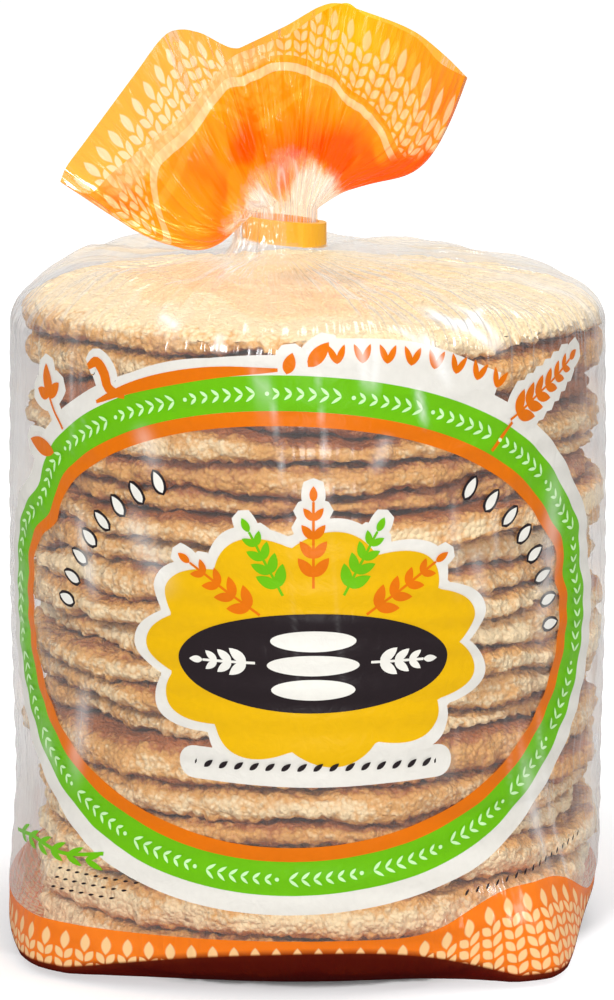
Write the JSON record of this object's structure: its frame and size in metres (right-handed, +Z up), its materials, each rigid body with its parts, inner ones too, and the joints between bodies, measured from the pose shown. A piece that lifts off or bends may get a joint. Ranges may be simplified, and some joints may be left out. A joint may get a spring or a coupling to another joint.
{
  "type": "bag of puffed rice cakes",
  "caption": "Clear film bag round an upright stack of puffed rice cakes, gathered above the top cake, closed with a tape and flared into a printed mouth.",
  "frame": {"origin": "middle of the base, on the surface that the bag stands on", "axes": "+Z up the stack to the tied mouth, -Y out of the printed front, +X to the right of someone who looks at the front"},
  "size_m": [0.1202, 0.12, 0.1859],
  "materials": {
    "film_and_cakes": "clear film over pale cream cakes, with orange and green print",
    "closure_tape": "satin yellow tape"
  },
  "bodies": {
    "root": {"bag": "film_and_cakes", "tie": "closure_tape"}
  },
  "joints": []
}
